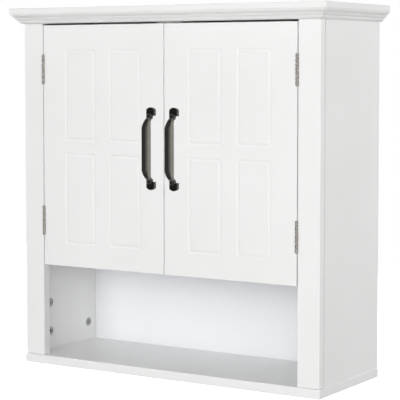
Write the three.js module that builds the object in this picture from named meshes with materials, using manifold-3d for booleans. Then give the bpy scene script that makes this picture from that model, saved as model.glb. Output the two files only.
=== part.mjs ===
// Hanging wall cabinet: two inset doors over an open bay, moulded top, bow handles.
// Millimetres, +Z up, front faces -Y. X = 0 is the middle of the width and Y = 0 the wall.
// Inside the cabinet group Z = 0 is the underside; the group is then lowered so that the origin is
// the centre of the upper hanging rail's rear face, where the cabinet is fixed to the wall.
import * as THREE from 'three';
import { mergeVertices } from 'three/addons/utils/BufferGeometryUtils.js';
import Module from 'manifold-3d';

const wasm = await Module();
wasm.setup();

// ---------------------------------------------------------------- driving dimensions

const overallWidth = 600;
const overallDepth = 220; // wall to the front of the top's edge
const overallHeight = 600;
const board = 15; // thickness of the painted boards
const overhang = 18.5; // top board past the body, at the front and both sides
const seam = 0.3; // open line left where two boards meet
const ease = 0.6; // chamfer along board edges
const touchGap = 0.05; // between metal parts and what they rest on

const stileWidth = 38;
const bottomLip = 1.5; // bottom board past the body
const bottomEase = 1;
const backSetback = 23; // wall to the front of the back panel
const backThickness = 3;

const hangHeight = 550; // underside to the middle of the upper hanging rail
const lowerRailHeight = 50;
const hangerSpacing = 400; // between the keyholes of the two hanger plates
const hangerLength = 60;
const hangerThickness = 2;
const hangerHeight = 20;
const hangerPocketDepth = 10; // behind each keyhole, for the head of a wall screw
const hangerPocketInset = [-14, -3]; // pocket's sides from the plate's ends and edges
const hangerScrewRadius = 2;
const hangerScrewInset = 6; // hole's middle from the plate's end
const hangerRecess = 0.1; // plate's face below the rail's
const keyholeEntryRadius = 4.5;
const keyholeSlotHalf = 2.2;
const keyholeLow = -2.5; // middle of the round entry from the plate's middle
const keyholeHigh = 6.5; // top of the slot

const crownDrop = 10.5; // moulding under the top board
const mitreGap = 0.2; // each length of moulding stops this far from the mitre
const reedReach = 3.2; // body to the innermost reed
const reedPitch = 5;
const reedWidth = 4.6;
const reedHeight = 4.8;
const reedBulge = 0.7;
const quirk = 0.4; // narrow step beside a reed
const catchRailDepth = 45;
const catchRailGap = 0.4; // catch rail's underside above the moulding's
const catchWidth = 46;
const catchHeight = 14;
const catchDepth = 15;
const catchEase = 1;
const magnetSize = [14, 4, 9];
const magnetOffset = 12;
const magnetProud = 0.6;
const magnetSocketGrow = 0.15; // socket wider than the magnet, all round
const magnetClearance = 0.1; // magnet to strike plate
const strikeHalfWidth = 8;
const strikeHeight = 22;
const strikeDrop = 2; // plate's top below the door's
const strikeThickness = 1;

const doorBottom = 169.5;
const doorTop = 571.6;
const hingeGap = 1.6;
const meetingGap = 1.2;
const frameSideMargin = 44.5; // door edge to the routed outlines
const frameTopMargin = 40;
const frameBottomMargin = 37.5;
const frameColumnGap = 27.3;
const frameRowGap = 19.4;
const grooveWidth = 6;
const grooveDepth = 0.6;
const fittingRise = 1; // hinges and handles above the door's mid height

const knuckleCount = 7;
const knuckleHeight = 7;
const knuckleRadius = 2.5;
const knuckleClearance = 0.25; // beside each knuckle and round the pin
const barrelProud = 1.1; // pin axis in front of the doors
const barrelInset = 0.8; // pin axis from the middle of the hinge gap, towards the door
const barrelRelief = 0.5; // clearance round the barrel in the door and the stile
const fingerRoot = 1.5; // pin axis to the inner end of each leaf's fingers
const leafGap = 0.1; // leaf from the middle of the hinge gap
const leafThickness = 0.65;
const leafDepth = 12.5;
const pinRadius = 1;
const pinHead = 0.5;
const pinHeadInset = 0.5; // head's radius within the knuckle's
const pinHeadEase = 0.4;
const pinSeat = 0.1; // head clear of the last knuckle
const hingeOffset = 126.9; // hinge centre from the handle's mid height

const handleInset = 22; // handle axis from the line where the doors meet
const handleLength = 132.9;
const handleProjection = 24.8;
const gripHalfWidth = 7.6;
const gripThickness = 11;
const gripFlatHalf = 3.6; // front face of the grip
const gripShoulder = [5.4, 2]; // outer end of the chamfer beside it, as half width and depth
const gripBackEase = [1, 1.4]; // chamfer along the grip's back, as width and depth
const straightHalf = 31.5; // mid height to the start of the bend
const bendEnd = 55;
const neckHalfWidth = 4.1;
const neckThickness = 6.6;
const footWidth = 15.6;
const footHeight = 13.5;
const footThickness = 7;
const footRise = 3.8; // arch at the foot's outer end
const footEase = 0.8;
const neckOverlap = 0.4; // bow's end into the foot
const footHoleRadius = 2.2;
const footHoleFloor = 1.8; // left in front of the screw's hole
const bossRadius = 5.6;
const bossOut = 7.6; // boss centre from the door
const bossHeight = 51.5; // and from the handle's mid height
const screwSpacing = 118.6;
const screwHoleRadius = 2.4;
const screwRadius = 1.9;
const screwHeadRadius = 4;
const screwHeadHeight = 2.4;
const screwHeadEase = [1, 0.2]; // rim of the head's dome, as width and height
const screwTipClearance = 0.4;

const camRadius = 7.5;
const camDepth = 12;
const camShrink = 0.1; // casting within its nominal radius
const camRecess = 0.2; // face below the panel's
const camPocketGrow = [0.2, 0.3]; // pocket past the nominal radius and depth
const camSetback = 32; // cam centre from the board edge it draws in
const camRearSetback = 44.5; // rear cam centre from the wall
const camStileHeights = [96.5, 504];
const camSlotHalf = 4.5;
const camSlotWidth = 1.6;
const camSlotDepth = 2;

const shelfPinRadius = 2.45;
const shelfPinCollar = 3.6;
const shelfPinReach = 6.5; // under the shelf
const shelfPinHoleDepth = 9;
const shelfPinHoleGrow = 0.15;
const shelfPinSpare = 1; // shank short of the hole's floor
const shelfPinTip = 0.5; // chamfer of the end under the shelf
const collarFaces = [-0.8, -0.1]; // from the panel's face
const shelfRowSpacing = 62;
const shelfColumns = [-160, -50];
const looseShelfSetback = 8; // adjustable shelf behind the stiles
const looseShelfGap = 0.8; // and at each end

// ---------------------------------------------------------------- derived dimensions

const bodyHalf = overallWidth / 2 - overhang;
const bodyDepth = overallDepth - overhang;
const front = -bodyDepth;
const innerHalf = bodyHalf - board;
const openingHalf = bodyHalf - stileWidth;
const stileBack = front + board;
const topUnderside = overallHeight - board;
const crownUnderside = topUnderside - crownDrop;
const backFront = -backSetback;
const doorMiddle = (doorBottom + doorTop) / 2;
const doorOuter = openingHalf - hingeGap;
const fittingMiddle = doorMiddle + fittingRise;
const hingeX = openingHalf - hingeGap / 2 - barrelInset;
const hingeY = front - barrelProud;
const hingeHeight = knuckleCount * knuckleHeight;
const catchRailUnderside = crownUnderside + catchRailGap;
const catchTop = catchRailUnderside - 0.05;
const magnetFace = stileBack - seam + 0.05 + strikeThickness + magnetClearance;
const fixedShelfTop = doorBottom + board;
const shelfUnderside = (fixedShelfTop + catchRailUnderside - board) / 2;

// ---------------------------------------------------------------- finishes

function finish(color, roughness, metalness) {
  return new THREE.MeshStandardMaterial({ color, roughness, metalness });
}

const whitePaint = finish(0xf0f0ee, 0.45, 0);
const whiteLaminate = finish(0xeceef2, 0.5, 0);
const darkNickel = finish(0x2b2a28, 0.22, 1);
const satinNickel = finish(0xa8a39a, 0.35, 1);
const zinc = finish(0xb4b4b0, 0.4, 1);
const whitePlastic = finish(0xe6e6e2, 0.5, 0);
const magnetSteel = finish(0x77777a, 0.4, 1);

// ---------------------------------------------------------------- geometry helpers

// A closed body through rings of points that all run the same way round, the first ring at the low end.
function loft(rings) {
  const count = rings[0].length;
  const positions = rings.flat(2);
  const index = [];
  for (let r = 0; r + 1 < rings.length; r++) {
    for (let i = 0; i < count; i++) {
      const a = r * count + i;
      const b = r * count + ((i + 1) % count);
      index.push(a, b, b + count, a, b + count, a + count);
    }
  }
  const last = (rings.length - 1) * count;
  for (let i = 1; i + 1 < count; i++) {
    index.push(0, i + 1, i);
    index.push(last, last + i, last + i + 1);
  }
  const geometry = new THREE.BufferGeometry();
  geometry.setAttribute('position', new THREE.Float32BufferAttribute(positions, 3));
  geometry.setIndex(index);
  return geometry;
}

// A board between two corners, with its edges eased.
function easedBoard([x0, y0, z0], [x1, y1, z1], edge = ease) {
  const ring = (inset, z) => {
    const [ax, bx, ay, by] = [x0 + inset, x1 - inset, y0 + inset, y1 - inset];
    return [
      [ax + edge, ay, z], [bx - edge, ay, z], [bx, ay + edge, z], [bx, by - edge, z],
      [bx - edge, by, z], [ax + edge, by, z], [ax, by - edge, z], [ax, ay + edge, z],
    ];
  };
  return loft([ring(edge, z0), ring(0, z0 + edge), ring(0, z1 - edge), ring(edge, z1)]);
}

function plainBlock([x0, y0, z0], [x1, y1, z1]) {
  const geometry = new THREE.BoxGeometry(x1 - x0, y1 - y0, z1 - z0);
  return geometry.translate((x0 + x1) / 2, (y0 + y1) / 2, (z0 + z1) / 2);
}

// A cylinder along X, Y or Z between two stations on that axis.
function rod(axis, radius, from, to, sides, [u, v] = [0, 0]) {
  const geometry = new THREE.CylinderGeometry(radius, radius, to - from, sides);
  const middle = (from + to) / 2;
  if (axis === 'x') return geometry.rotateZ(-Math.PI / 2).translate(middle, u, v);
  if (axis === 'y') return geometry.translate(u, middle, v);
  return geometry.rotateX(Math.PI / 2).translate(u, v, middle);
}

function solid(geometry) {
  const bare = geometry.clone();
  bare.deleteAttribute('normal');
  bare.deleteAttribute('uv');
  const merged = mergeVertices(bare, 1e-4);
  return new wasm.Manifold(new wasm.Mesh({
    numProp: 3,
    vertProperties: new Float32Array(merged.attributes.position.array),
    triVerts: new Uint32Array(merged.index.array),
  }));
}

function geometryOf(manifold) {
  const mesh = manifold.getMesh();
  const geometry = new THREE.BufferGeometry();
  geometry.setAttribute('position', new THREE.Float32BufferAttribute(mesh.vertProperties, 3));
  geometry.setIndex(Array.from(mesh.triVerts));
  return geometry;
}

function cut(geometry, tools) {
  return geometryOf(tools.reduce((body, tool) => body.subtract(solid(tool)), solid(geometry)));
}

function join(geometries) {
  const [first, ...others] = geometries;
  return geometryOf(others.reduce((body, other) => body.add(solid(other)), solid(first)));
}

function mesh(name, geometry, material, [x, y, z] = [0, 0, 0]) {
  const node = new THREE.Mesh(geometry, material);
  node.name = name;
  node.position.set(x, y, z);
  return node;
}

const sides = [['left', -1], ['right', 1]];
const ends = [['lower', -1], ['upper', 1]];

// ---------------------------------------------------------------- carcass

// Cam fittings on the inner face of a side panel, as [y, z].
function camPlaces() {
  const nearFront = stileBack + camSetback;
  const nearBack = -camRearSetback;
  const low = board + camSetback;
  const high = topUnderside - camSetback;
  return [
    ['bottom_front', nearFront, low],
    ['bottom_rear', nearBack, low],
    ['stile_low', nearFront, camStileHeights[0]],
    ['stile_high', nearFront, camStileHeights[1]],
    ['top_front', nearFront, high],
    ['top_rear', nearBack, high],
  ];
}

function shelfHoles() {
  const middle = shelfUnderside - shelfPinRadius;
  return [-1, 0, 1].flatMap((row) => shelfColumns.map((y) => [y, middle + row * shelfRowSpacing]));
}

function sidePanel(side) {
  const inner = side * (innerHalf + seam);
  const outer = side * bodyHalf;
  const low = [Math.min(inner, outer), stileBack + seam, board + seam];
  const high = [Math.max(inner, outer), 0, topUnderside - seam];
  const bore = (radius, depth, count, place) => {
    const [from, to] = [inner - side, inner + side * depth].sort((a, b) => a - b);
    return rod('x', radius, from, to, count, place);
  };
  const pockets = camPlaces().map(([, y, z]) => bore(
    camRadius + camPocketGrow[0], camDepth + camPocketGrow[1], 16, [y, z],
  ));
  const pinHoleRadius = shelfPinRadius + shelfPinHoleGrow;
  const holes = shelfHoles().map((place) => bore(pinHoleRadius, shelfPinHoleDepth, 10, place));
  return cut(easedBoard(low, high), [...pockets, ...holes]);
}

// The space that a hinge's barrel needs in the board edges on both sides of it.
function barrelReliefs(side) {
  const half = hingeHeight / 2 + pinHead + barrelRelief;
  return ends.map(([, sign]) => {
    const middle = fittingMiddle + sign * hingeOffset;
    const place = [side * hingeX, hingeY];
    return rod('z', knuckleRadius + barrelRelief, middle - half, middle + half, 16, place);
  });
}

function stile(side) {
  const inner = side * openingHalf;
  const outer = side * bodyHalf;
  const low = [Math.min(inner, outer), front, board + seam];
  const high = [Math.max(inner, outer), stileBack, topUnderside - seam];
  return cut(easedBoard(low, high), barrelReliefs(side));
}

function bottomPanel() {
  const half = bodyHalf + bottomLip;
  return easedBoard([-half, front - bottomLip, 0], [half, 0, board], bottomEase);
}

// A bulging reed as [reach, height], from the inner end of its underside up to its outer end.
function reed(reach, height) {
  const facets = 4;
  return Array.from({ length: facets + 1 }, (_, step) => {
    const along = step / facets;
    const out = reedBulge * Math.SQRT1_2 * Math.sin(Math.PI * along);
    return [reach + reedWidth * along + out, height + reedHeight * along - out];
  });
}

// The top board, whose front and side edges carry a fascia over the outermost reed.
function topPanel() {
  const nose = reed(reedReach + 2 * reedPitch, quirk);
  const [noseReach, noseTop] = nose.at(-1);
  const edge = [
    [nose[0][0], 0],
    ...nose,
    [noseReach, noseTop + quirk],
    [overhang, noseTop + 2 * quirk],
    [overhang, board - 1],
    [overhang - 1, board],
  ];
  return loft(edge.map(([reach, height]) => [
    [-bodyHalf - reach, front - reach, topUnderside + height],
    [bodyHalf + reach, front - reach, topUnderside + height],
    [bodyHalf + reach, 0, topUnderside + height],
    [-bodyHalf - reach, 0, topUnderside + height],
  ]));
}

// The moulding's section as [reach, height]: two reeds that step back towards the body.
function crownProfile() {
  const toe = quirk / 2;
  const top = crownDrop - seam;
  const lower = reed(reedReach, toe);
  const upper = reed(reedReach + reedPitch, top - reedHeight);
  return [
    [seam, 0],
    [reedReach - toe, 0],
    ...lower,
    [lower.at(-1)[0], upper[0][1]],
    ...upper,
    [seam, top],
  ];
}

// The section run along a line whose ends depend on the reach, which mitres them.
function moulding(place) {
  const shape = new THREE.Shape(crownProfile().map(([reach, height]) => new THREE.Vector2(reach, height)));
  const geometry = new THREE.ExtrudeGeometry(shape, { depth: 1, bevelEnabled: false });
  const position = geometry.attributes.position;
  for (let i = 0; i < position.count; i++) {
    const point = place(position.getX(i), position.getZ(i));
    position.setXYZ(i, point[0], point[1], crownUnderside + position.getY(i));
  }
  return geometry;
}

function crownFront() {
  return moulding((reach, along) => {
    const end = bodyHalf + reach - mitreGap;
    return [THREE.MathUtils.lerp(end, -end, along), front - reach];
  });
}

function crownSide(side) {
  return moulding((reach, along) => {
    const frontEnd = front - reach + mitreGap;
    const [from, to] = side > 0 ? [0, frontEnd] : [frontEnd, 0];
    return [side * (bodyHalf + reach), THREE.MathUtils.lerp(from, to, along)];
  });
}

function catchRail() {
  const half = openingHalf - seam;
  return easedBoard([-half, front, catchRailUnderside], [half, front + catchRailDepth, topUnderside - seam]);
}

function shelfBoard(half, y0, y1, underside) {
  return easedBoard([-half, y0, underside], [half, y1, underside + board]);
}

function backPanel() {
  const half = innerHalf - seam;
  const low = [-half, backFront, board + seam];
  return plainBlock(low, [half, backFront + backThickness, topUnderside - seam]);
}

const railFront = backFront + backThickness + seam;
const railHalf = innerHalf - seam;

// The upper rail is rebated for two hanger plates, with a deeper pocket for each screw head.
function upperRail() {
  const reach = topUnderside - seam - hangHeight;
  const body = easedBoard([-railHalf, railFront, hangHeight - reach], [railHalf, 0, hangHeight + reach]);
  const tools = sides.flatMap(([, side]) => {
    const x = (side * hangerSpacing) / 2;
    const pocket = (grow, depth) => plainBlock(
      [x - hangerLength / 2 - grow[0], -depth, hangHeight - hangerHeight / 2 - grow[1]],
      [x + hangerLength / 2 + grow[0], 1, hangHeight + hangerHeight / 2 + grow[1]],
    );
    return [pocket([seam, seam], hangerThickness + seam), pocket(hangerPocketInset, hangerPocketDepth)];
  });
  return cut(body, tools);
}

function lowerRail() {
  const top = board + seam + lowerRailHeight;
  return easedBoard([-railHalf, railFront, board + seam], [railHalf, 0, top]);
}

// A steel plate with a keyhole: a round entry below a narrow slot, and a screw hole at each end.
function hangerPlate() {
  const [halfX, halfZ] = [hangerLength / 2, hangerHeight / 2];
  const through = hangerThickness + 1;
  return cut(plainBlock([-halfX, 0, -halfZ], [halfX, hangerThickness, halfZ]), [
    rod('y', keyholeEntryRadius, -1, through, 12, [0, keyholeLow]),
    plainBlock([-keyholeSlotHalf, -1, keyholeLow], [keyholeSlotHalf, through, keyholeHigh]),
    rod('y', hangerScrewRadius, -1, through, 10, [hangerScrewInset - halfX, 0]),
    rod('y', hangerScrewRadius, -1, through, 10, [halfX - hangerScrewInset, 0]),
  ]);
}

// ---------------------------------------------------------------- doors

// A closed four-sided ring tool for one routed outline, round-bottomed, standing proud of the face.
function grooveRing(halfWidth, halfHeight) {
  const arcRadius = (grooveWidth ** 2 / 4 + grooveDepth ** 2) / (2 * grooveDepth);
  const halfAngle = Math.asin(grooveWidth / 2 / arcRadius);
  const section = [[grooveWidth / 2, -1], [-grooveWidth / 2, -1]];
  const facets = 5;
  for (let i = 0; i <= facets; i++) {
    const angle = -halfAngle + (2 * halfAngle * i) / facets;
    section.push([arcRadius * Math.sin(angle), grooveDepth - arcRadius * (1 - Math.cos(angle))]);
  }
  const corners = [[-1, -1], [1, -1], [1, 1], [-1, 1]];
  const rings = corners.map(([cx, cz]) => section.map(([out, depth]) => [
    cx * (halfWidth - grooveWidth / 2 + out),
    depth,
    cz * (halfHeight - grooveWidth / 2 + out),
  ]));
  const count = section.length;
  const index = [];
  for (let r = 0; r < corners.length; r++) {
    const here = r * count;
    const next = ((r + 1) % corners.length) * count;
    for (let i = 0; i < count; i++) {
      const j = (i + 1) % count;
      index.push(here + i, next + j, here + j, here + i, next + i, next + j);
    }
  }
  const geometry = new THREE.BufferGeometry();
  geometry.setAttribute('position', new THREE.Float32BufferAttribute(rings.flat(2), 3));
  geometry.setIndex(index);
  return geometry;
}

function handleX(side) {
  return side * handleInset;
}

function door(side) {
  const inner = side * (meetingGap / 2);
  const outer = side * doorOuter;
  const low = [Math.min(inner, outer), front, doorBottom];
  const high = [Math.max(inner, outer), stileBack - seam, doorTop];
  const frameWidth = (high[0] - low[0] - 2 * frameSideMargin - frameColumnGap) / 2;
  const framesHeight = doorTop - doorBottom - frameTopMargin - frameBottomMargin;
  const frameHeight = (framesHeight - frameRowGap) / 2;
  const tools = barrelReliefs(side);
  for (const column of [-1, 1]) {
    for (const row of [-1, 1]) {
      const x = (low[0] + high[0]) / 2 + (column * (frameWidth + frameColumnGap)) / 2;
      const z = doorBottom + frameBottomMargin + (framesHeight + row * (frameHeight + frameRowGap)) / 2;
      tools.push(grooveRing(frameWidth / 2, frameHeight / 2).translate(x, front, z));
    }
  }
  for (const [, sign] of ends) {
    const place = [handleX(side), fittingMiddle + (sign * screwSpacing) / 2];
    tools.push(rod('y', screwHoleRadius, front - 1, stileBack + 1, 12, place));
  }
  return cut(easedBoard(low, high), tools);
}

// ---------------------------------------------------------------- hinges

// One leaf about the pin's axis: a plate in the gap beside the door, with fingers to every other knuckle.
function hingeLeaf(side, plateSide, firstKnuckle) {
  const near = side * barrelInset + plateSide * leafGap;
  const [x0, x1] = [near, near + plateSide * leafThickness].sort((a, b) => a - b);
  const plateStart = knuckleRadius + barrelRelief;
  const half = hingeHeight / 2;
  const pieces = [plainBlock([x0, plateStart, -half], [x1, plateStart + leafDepth, half])];
  for (let k = firstKnuckle; k < knuckleCount; k += 2) {
    const low = -half + k * knuckleHeight + knuckleClearance;
    const high = low + knuckleHeight - 2 * knuckleClearance;
    pieces.push(rod('z', knuckleRadius, low, high, 12));
    pieces.push(plainBlock([x0, fingerRoot, low], [x1, plateStart + knuckleClearance, high]));
  }
  return cut(join(pieces), [rod('z', pinRadius + knuckleClearance, -hingeHeight, hingeHeight, 10)]);
}

function hingePin() {
  const seat = hingeHeight / 2 + pinSeat;
  const end = hingeHeight / 2 + pinHead;
  const headRadius = knuckleRadius - pinHeadInset;
  const profile = [
    [0, -end], [headRadius - pinHeadEase, -end], [headRadius, -seat], [pinRadius, -seat],
    [pinRadius, seat], [headRadius, seat], [headRadius - pinHeadEase, end], [0, end],
  ].map(([r, h]) => new THREE.Vector2(r, h));
  return new THREE.LatheGeometry(profile, 10).rotateX(Math.PI / 2);
}

function hinge(sideName, side, endName, z) {
  const place = [side * hingeX, hingeY, z];
  const tail = `${sideName}_${endName}`;
  return [
    mesh(`hinge_frame_leaf_${tail}`, hingeLeaf(side, side, 0), satinNickel, place),
    mesh(`hinge_door_leaf_${tail}`, hingeLeaf(side, -side, 1), satinNickel, place),
    mesh(`hinge_pin_${tail}`, hingePin(), satinNickel, place),
  ];
}

// ---------------------------------------------------------------- handles

// The bow in level slices: a straight faceted grip whose ends bend towards the door and thin down.
function bow() {
  const slices = 20;
  const dropEnd = handleProjection - footThickness + neckOverlap;
  const rings = [];
  for (let i = 0; i <= slices; i++) {
    const z = bendEnd * Math.sin((Math.PI / 2) * ((2 * i) / slices - 1));
    const bend = THREE.MathUtils.clamp((Math.abs(z) - straightHalf) / (bendEnd - straightHalf), 0, 1);
    const slim = Math.cos((Math.PI / 2) * bend) ** 2;
    const across = THREE.MathUtils.lerp(neckHalfWidth, gripHalfWidth, slim) / gripHalfWidth;
    const deep = THREE.MathUtils.lerp(neckThickness, gripThickness, slim) / gripThickness;
    const face = -handleProjection + dropEnd * bend ** 2;
    const half = [
      [gripFlatHalf, 0],
      gripShoulder,
      [gripHalfWidth, gripThickness - gripBackEase[1]],
      [gripHalfWidth - gripBackEase[0], gripThickness],
    ].map(([u, v]) => [u * across, face + v * deep, z]);
    rings.push([...half, ...half.map(([u, v, w]) => [-u, v, w]).reverse()]);
  }
  return loft(rings);
}

// A foot is square towards the grip and arched at its outer end.
function foot(end) {
  const half = footWidth / 2;
  const tip = handleLength / 2;
  const arcRadius = (half ** 2 + footRise ** 2) / (2 * footRise);
  const spread = Math.asin(half / arcRadius);
  const shape = new THREE.Shape();
  shape.moveTo(-half, tip - footHeight);
  shape.lineTo(half, tip - footHeight);
  shape.lineTo(half, tip - footRise);
  shape.absarc(0, tip - arcRadius, arcRadius, Math.PI / 2 - spread, Math.PI / 2 + spread, false);
  const geometry = new THREE.ExtrudeGeometry(shape, {
    depth: footThickness - footEase,
    bevelSize: footEase,
    bevelOffset: -footEase,
    bevelThickness: footEase,
    bevelSegments: 1,
    curveSegments: 8,
  });
  geometry.rotateX(Math.PI / 2);
  return end < 0 ? geometry.rotateY(Math.PI) : geometry;
}

function handle() {
  const pieces = [bow()];
  for (const [, sign] of ends) {
    const boss = new THREE.SphereGeometry(bossRadius, 12, 8).rotateX(Math.PI / 2);
    pieces.push(foot(sign), boss.translate(0, -bossOut, sign * bossHeight));
  }
  const behind = plainBlock([-footWidth, -seam, -handleLength], [footWidth, footWidth, handleLength]);
  const holeEnd = -footThickness + footHoleFloor;
  const holes = ends.map(([, sign]) => (
    rod('y', footHoleRadius, holeEnd, 1, 12, [0, (sign * screwSpacing) / 2])
  ));
  return cut(join(pieces), [behind, ...holes]);
}

// Pan-head machine screw, head inside the door, shank out through it into the foot.
function handleScrew() {
  const shank = board - seam + footThickness - footHoleFloor - screwTipClearance;
  const profile = [
    [0, -shank],
    [screwRadius, -shank],
    [screwRadius, touchGap],
    [screwHeadRadius, touchGap],
    [screwHeadRadius, screwHeadHeight / 2],
    [screwHeadRadius - screwHeadEase[0], screwHeadHeight - screwHeadEase[1]],
    [0, screwHeadHeight],
  ].map(([r, h]) => new THREE.Vector2(r, h));
  return new THREE.LatheGeometry(profile, 12);
}

// ---------------------------------------------------------------- small fittings

// A cam housing with a crossed drive slot in its face, which looks along -X before it is turned.
function camFitting() {
  const arm = (halfY, halfZ) => plainBlock([-1, -halfY, -halfZ], [camSlotDepth, halfY, halfZ]);
  const slots = [arm(camSlotHalf, camSlotWidth / 2), arm(camSlotWidth / 2, camSlotHalf)];
  return cut(rod('x', camRadius - camShrink, 0, camDepth, 16), slots);
}

// A shelf pin along +X: a shank for the panel's hole, a thin collar, and the end that bears the shelf.
function shelfPin() {
  const shankEnd = shelfPinHoleDepth - shelfPinSpare;
  const [collarStart, collarEnd] = collarFaces;
  const profile = [
    [0, -shelfPinReach],
    [shelfPinRadius - shelfPinTip, -shelfPinReach],
    [shelfPinRadius, shelfPinTip - shelfPinReach],
    [shelfPinRadius, collarStart],
    [shelfPinCollar, collarStart],
    [shelfPinCollar, collarEnd],
    [shelfPinRadius, collarEnd],
    [shelfPinRadius, shankEnd],
    [0, shankEnd],
  ].map(([r, h]) => new THREE.Vector2(r, h));
  return new THREE.LatheGeometry(profile, 10).rotateZ(-Math.PI / 2);
}

function magnetBlock(side, grow) {
  const [width, depth, height] = magnetSize;
  const middle = catchTop - catchHeight / 2;
  return plainBlock(
    [side * magnetOffset - width / 2 - grow, magnetFace - grow, middle - height / 2 - grow],
    [side * magnetOffset + width / 2 + grow, magnetFace + depth + grow, middle + height / 2 + grow],
  );
}

function catchHousing() {
  const low = [-catchWidth / 2, magnetFace + magnetProud, catchTop - catchHeight];
  const high = [catchWidth / 2, magnetFace + catchDepth, catchTop];
  const sockets = [-1, 1].map((side) => magnetBlock(side, magnetSocketGrow));
  return cut(easedBoard(low, high, catchEase), sockets);
}

function strikePlate(side) {
  const x = side * magnetOffset;
  const y = stileBack - seam + touchGap;
  return plainBlock(
    [x - strikeHalfWidth, y, doorTop - strikeDrop - strikeHeight],
    [x + strikeHalfWidth, y + strikeThickness, doorTop - strikeDrop],
  );
}

// ---------------------------------------------------------------- assembly

const cabinet = new THREE.Group();

const carcass = new THREE.Group();
for (const [name, side] of sides) {
  carcass.add(mesh(`side_panel_${name}`, sidePanel(side), whitePaint));
  carcass.add(mesh(`stile_${name}`, stile(side), whitePaint));
  carcass.add(mesh(`crown_${name}`, crownSide(side), whitePaint));
}
carcass.add(mesh('crown_front', crownFront(), whitePaint));
carcass.add(mesh('top_panel', topPanel(), whitePaint));
carcass.add(mesh('bottom_panel', bottomPanel(), whitePaint));
carcass.add(mesh('catch_rail', catchRail(), whitePaint));
carcass.add(mesh('back_panel', backPanel(), whiteLaminate));
carcass.add(mesh('hanging_rail_upper', upperRail(), whitePaint));
carcass.add(mesh('hanging_rail_lower', lowerRail(), whitePaint));
const shelfBack = backFront - seam;
const fixedShelf = shelfBoard(innerHalf, stileBack + seam, shelfBack, doorBottom);
carcass.add(mesh('fixed_shelf', fixedShelf, whitePaint));
const looseFront = stileBack + looseShelfSetback;
const looseShelf = shelfBoard(innerHalf - looseShelfGap, looseFront, shelfBack - 2, shelfUnderside);
carcass.add(mesh('adjustable_shelf', looseShelf, whitePaint));
cabinet.add(carcass);

const fittings = new THREE.Group();
const camGeometry = camFitting();
const pinGeometry = shelfPin();
for (const [name, side] of sides) {
  const turn = side > 0 ? 0 : Math.PI;
  for (const [place, y, z] of camPlaces()) {
    const cam = mesh(`cam_${name}_${place}`, camGeometry, zinc, [side * (innerHalf + seam + camRecess), y, z]);
    cam.rotation.z = turn;
    fittings.add(cam);
  }
  shelfColumns.forEach((y, i) => {
    const place = [side * (innerHalf + seam), y, shelfUnderside - shelfPinRadius - touchGap];
    const pin = mesh(`shelf_pin_${name}_${['front', 'rear'][i]}`, pinGeometry, zinc, place);
    pin.rotation.z = turn;
    fittings.add(pin);
  });
  const hangerAt = [(side * hangerSpacing) / 2, -hangerThickness - hangerRecess, hangHeight];
  fittings.add(mesh(`hanger_plate_${name}`, hangerPlate(), zinc, hangerAt));
  fittings.add(mesh(`catch_magnet_${name}`, magnetBlock(side, 0), magnetSteel));
}
fittings.add(mesh('catch_housing', catchHousing(), whitePlastic));
cabinet.add(fittings);

for (const [name, side] of sides) {
  const leaf = new THREE.Group();
  leaf.add(mesh(`door_${name}`, door(side), whitePaint));
  leaf.add(mesh(`handle_${name}`, handle(), darkNickel, [handleX(side), front, fittingMiddle]));
  leaf.add(mesh(`strike_plate_${name}`, strikePlate(side), zinc));
  for (const [end, sign] of ends) {
    const at = [handleX(side), stileBack - seam, fittingMiddle + (sign * screwSpacing) / 2];
    leaf.add(mesh(`handle_screw_${name}_${end}`, handleScrew(), zinc, at));
    leaf.add(...hinge(name, side, end, fittingMiddle + sign * hingeOffset));
  }
  cabinet.add(leaf);
}

cabinet.position.z = -hangHeight;

export default cabinet;
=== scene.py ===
"""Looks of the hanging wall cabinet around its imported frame. Metres, +Z up, the doors face -Y."""
import math

import bmesh
import bpy
from mathutils import Matrix, Vector


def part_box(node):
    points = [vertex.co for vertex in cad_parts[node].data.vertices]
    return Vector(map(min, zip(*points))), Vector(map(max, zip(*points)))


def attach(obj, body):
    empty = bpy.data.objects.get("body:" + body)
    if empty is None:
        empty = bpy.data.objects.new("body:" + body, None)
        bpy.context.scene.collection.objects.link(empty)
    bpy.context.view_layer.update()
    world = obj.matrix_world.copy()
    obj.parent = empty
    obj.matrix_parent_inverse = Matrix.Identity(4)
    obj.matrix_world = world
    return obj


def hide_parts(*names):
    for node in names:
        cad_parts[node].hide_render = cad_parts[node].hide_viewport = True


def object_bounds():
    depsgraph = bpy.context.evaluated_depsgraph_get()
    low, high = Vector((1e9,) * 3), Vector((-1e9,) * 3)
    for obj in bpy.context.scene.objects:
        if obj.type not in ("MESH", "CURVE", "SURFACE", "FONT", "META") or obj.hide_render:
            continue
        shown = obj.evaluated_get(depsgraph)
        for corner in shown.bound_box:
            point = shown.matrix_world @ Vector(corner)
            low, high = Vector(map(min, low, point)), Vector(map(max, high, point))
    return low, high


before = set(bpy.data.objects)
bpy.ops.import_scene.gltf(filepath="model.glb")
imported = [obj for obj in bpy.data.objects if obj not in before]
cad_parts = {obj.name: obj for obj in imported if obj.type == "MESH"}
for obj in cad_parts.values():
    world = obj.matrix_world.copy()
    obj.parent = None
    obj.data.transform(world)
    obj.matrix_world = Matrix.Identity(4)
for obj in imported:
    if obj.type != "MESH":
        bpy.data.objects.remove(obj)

cad_low, cad_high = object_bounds()

MM = 0.001
SIDES = {"left": -1, "right": 1}
LEVELS = {"lower": -1, "upper": 1}
SHARP_ANGLE = math.radians(35)
FACES_FRONT = -0.9  # a face whose normal has less Y than this looks to the front
WELD = 0.002 * MM
THIN = 0.05 * MM
MOUTH_EASE = 0.25 * MM
BORE_SIDES = 24
SMALL_TURNED_SIDES = 32
BARREL_SIDES = 36
LARGE_TURNED_SIDES = 48

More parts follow.
